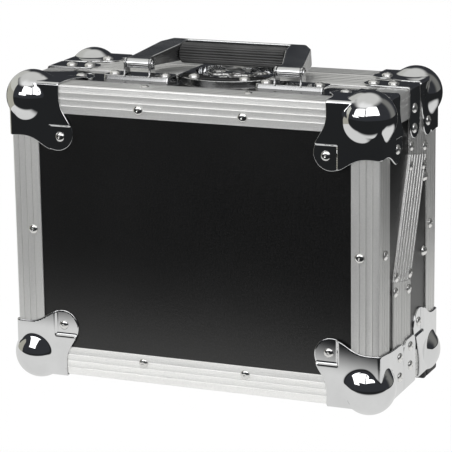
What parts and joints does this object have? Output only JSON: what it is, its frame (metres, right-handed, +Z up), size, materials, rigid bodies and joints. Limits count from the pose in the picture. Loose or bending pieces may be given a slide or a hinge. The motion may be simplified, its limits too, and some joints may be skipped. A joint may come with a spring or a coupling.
{
  "type": "flight case",
  "caption": "Small black flight case with ribbed metal edging, steel ball corners, a stepped split line, a folding top handle and a recessed butterfly latch",
  "frame": {"origin": "centre of the whole part's footprint, at the level of the lowest point, the feet and front balls", "axes": "+X to the right seen from the front shell, +Y from the front shell to the back shell, +Z up to the handle side"},
  "size_m": [0.4212, 0.1992, 0.35],
  "materials": {
    "laminate_board": "fine textured black laminate on board",
    "aluminium_profile": "satin extruded, fine ribs along the length",
    "bright_hardware": "bright nickel plated pressed steel",
    "grip_vinyl": "black ribbed soft grip",
    "foot_rubber": "black matt rubber"
  },
  "bodies": {
    "base": {"base_face_panel": "laminate_board", "base_top_wall": "laminate_board", "base_bottom_wall": "laminate_board", "base_left_wall": "laminate_board", "base_right_wall": "laminate_board", "base_edge_top": "aluminium_profile", "base_edge_bottom": "aluminium_profile", "base_edge_left": "aluminium_profile", "base_edge_right": "aluminium_profile", "base_corner_angles": "aluminium_profile", "base_seam_top": "aluminium_profile", "base_seam_bottom": "aluminium_profile", "base_seam_left": "aluminium_profile", "base_seam_right": "aluminium_profile", "base_ball_top_left": "bright_hardware", "base_ball_top_right": "bright_hardware", "base_ball_bottom_left": "bright_hardware", "base_ball_bottom_right": "bright_hardware", "base_braces": "bright_hardware", "base_rivets": "bright_hardware", "side_bolts": "bright_hardware", "hinge_base_leaves": "bright_hardware", "hinge_pins": "bright_hardware", "rubber_feet": "foot_rubber", "latch_dish": "bright_hardware"},
    "lid": {"lid_face_panel": "laminate_board", "lid_top_wall": "laminate_board", "lid_bottom_wall": "laminate_board", "lid_left_wall": "laminate_board", "lid_right_wall": "laminate_board", "lid_edge_top": "aluminium_profile", "lid_edge_bottom": "aluminium_profile", "lid_edge_left": "aluminium_profile", "lid_edge_right": "aluminium_profile", "lid_corner_angles": "aluminium_profile", "lid_seam_top": "aluminium_profile", "lid_seam_bottom": "aluminium_profile", "lid_seam_left": "aluminium_profile", "lid_seam_right": "aluminium_profile", "lid_ball_top_left": "bright_hardware", "lid_ball_top_right": "bright_hardware", "lid_ball_bottom_left": "bright_hardware", "lid_ball_bottom_right": "bright_hardware", "lid_braces": "bright_hardware", "lid_rivets": "bright_hardware", "keeper_dish": "bright_hardware", "keeper_post": "bright_hardware", "handle_bracket_left": "bright_hardware", "handle_bracket_right": "bright_hardware", "handle_pins": "bright_hardware", "hinge_lid_leaves": "bright_hardware"},
    "handle": {"handle_frame": "bright_hardware", "handle_grip": "grip_vinyl"},
    "key": {"latch_hub": "bright_hardware", "latch_claw": "bright_hardware", "latch_wings": "bright_hardware"}
  },
  "joints": [
    {"name": "lid_hinge", "type": "hinge", "parent": "base", "child": "lid", "pos_m": [0, -0.0195, 0.0064], "axis": [1, 0, 0], "range_deg": [0, 110]},
    {"name": "handle_fold", "type": "hinge", "parent": "lid", "child": "handle", "pos_m": [0, -0.027, 0.3336], "axis": [1, 0, 0], "range_deg": [0, 170]},
    {"name": "latch_turn", "type": "hinge", "parent": "base", "child": "key", "pos_m": [0, 0.039, 0.3126], "axis": [0, 0, 1], "range_deg": [0, 180]}
  ]
}
